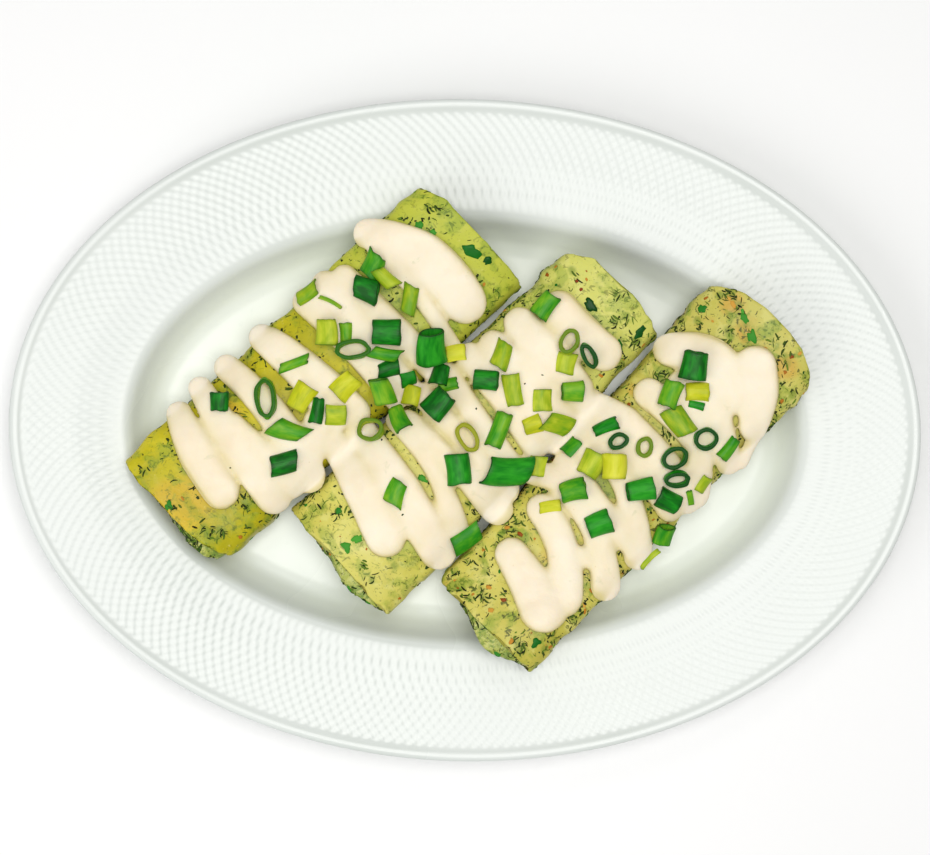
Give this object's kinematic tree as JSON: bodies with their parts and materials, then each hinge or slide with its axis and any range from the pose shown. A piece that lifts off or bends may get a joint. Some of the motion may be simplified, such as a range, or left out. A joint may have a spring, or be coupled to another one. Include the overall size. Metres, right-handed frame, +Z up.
{
  "type": "plated stuffed crepes",
  "caption": "Rolled herb crepes with a herb filling, side by side on an oval plate, with strands of creamy sauce and cut scallions on top.",
  "frame": {"origin": "centre of the plate's underside, on the surface it stands on", "axes": "+X along the plate's long side, +Z up; the crepes run from the lower left to the upper right when seen from above"},
  "size_m": [0.34, 0.247, 0.0447],
  "materials": {
    "plate_glaze": "gloss glazed porcelain",
    "crepe_skin": "moist, satin, speckled with herbs",
    "filling": "moist, matte, speckled with herbs",
    "sauce": "smooth, satin",
    "scallion_dark": "satin",
    "scallion_mid": "satin",
    "scallion_lime": "satin",
    "scallion_yellow": "satin"
  },
  "bodies": {
    "root": {"plate": "plate_glaze", "crepe_left": "crepe_skin", "crepe_middle": "crepe_skin", "crepe_right": "crepe_skin", "filling_left": "filling", "filling_middle": "filling", "filling_right": "filling", "sauce": "sauce", "scallion_01": "scallion_lime", "scallion_02": "scallion_lime", "scallion_03": "scallion_mid", "scallion_04": "scallion_mid", "scallion_05": "scallion_dark", "scallion_06": "scallion_lime", "scallion_07": "scallion_lime", "scallion_08": "scallion_dark", "scallion_09": "scallion_lime", "scallion_10": "scallion_mid", "scallion_11": "scallion_mid", "scallion_12": "scallion_mid", "scallion_13": "scallion_mid", "scallion_14": "scallion_yellow", "scallion_15": "scallion_yellow", "scallion_16": "scallion_dark", "scallion_17": "scallion_lime", "scallion_18": "scallion_mid", "scallion_19": "scallion_mid", "scallion_20": "scallion_dark", "scallion_21": "scallion_mid", "scallion_22": "scallion_dark", "scallion_23": "scallion_dark", "scallion_24": "scallion_dark", "scallion_25": "scallion_lime", "scallion_26": "scallion_lime", "scallion_27": "scallion_mid", "scallion_28": "scallion_yellow", "scallion_29": "scallion_dark", "scallion_30": "scallion_dark", "scallion_31": "scallion_lime", "scallion_32": "scallion_lime", "scallion_33": "scallion_dark", "scallion_34": "scallion_mid", "scallion_35": "scallion_mid", "scallion_36": "scallion_lime", "scallion_37": "scallion_mid", "scallion_38": "scallion_dark", "scallion_39": "scallion_dark", "scallion_40": "scallion_yellow", "scallion_41": "scallion_dark", "scallion_42": "scallion_dark", "scallion_43": "scallion_dark", "scallion_44": "scallion_dark", "scallion_45": "scallion_lime", "scallion_46": "scallion_mid", "scallion_47": "scallion_mid", "scallion_48": "scallion_lime", "scallion_49": "scallion_dark", "scallion_50": "scallion_mid"}
  },
  "joints": []
}
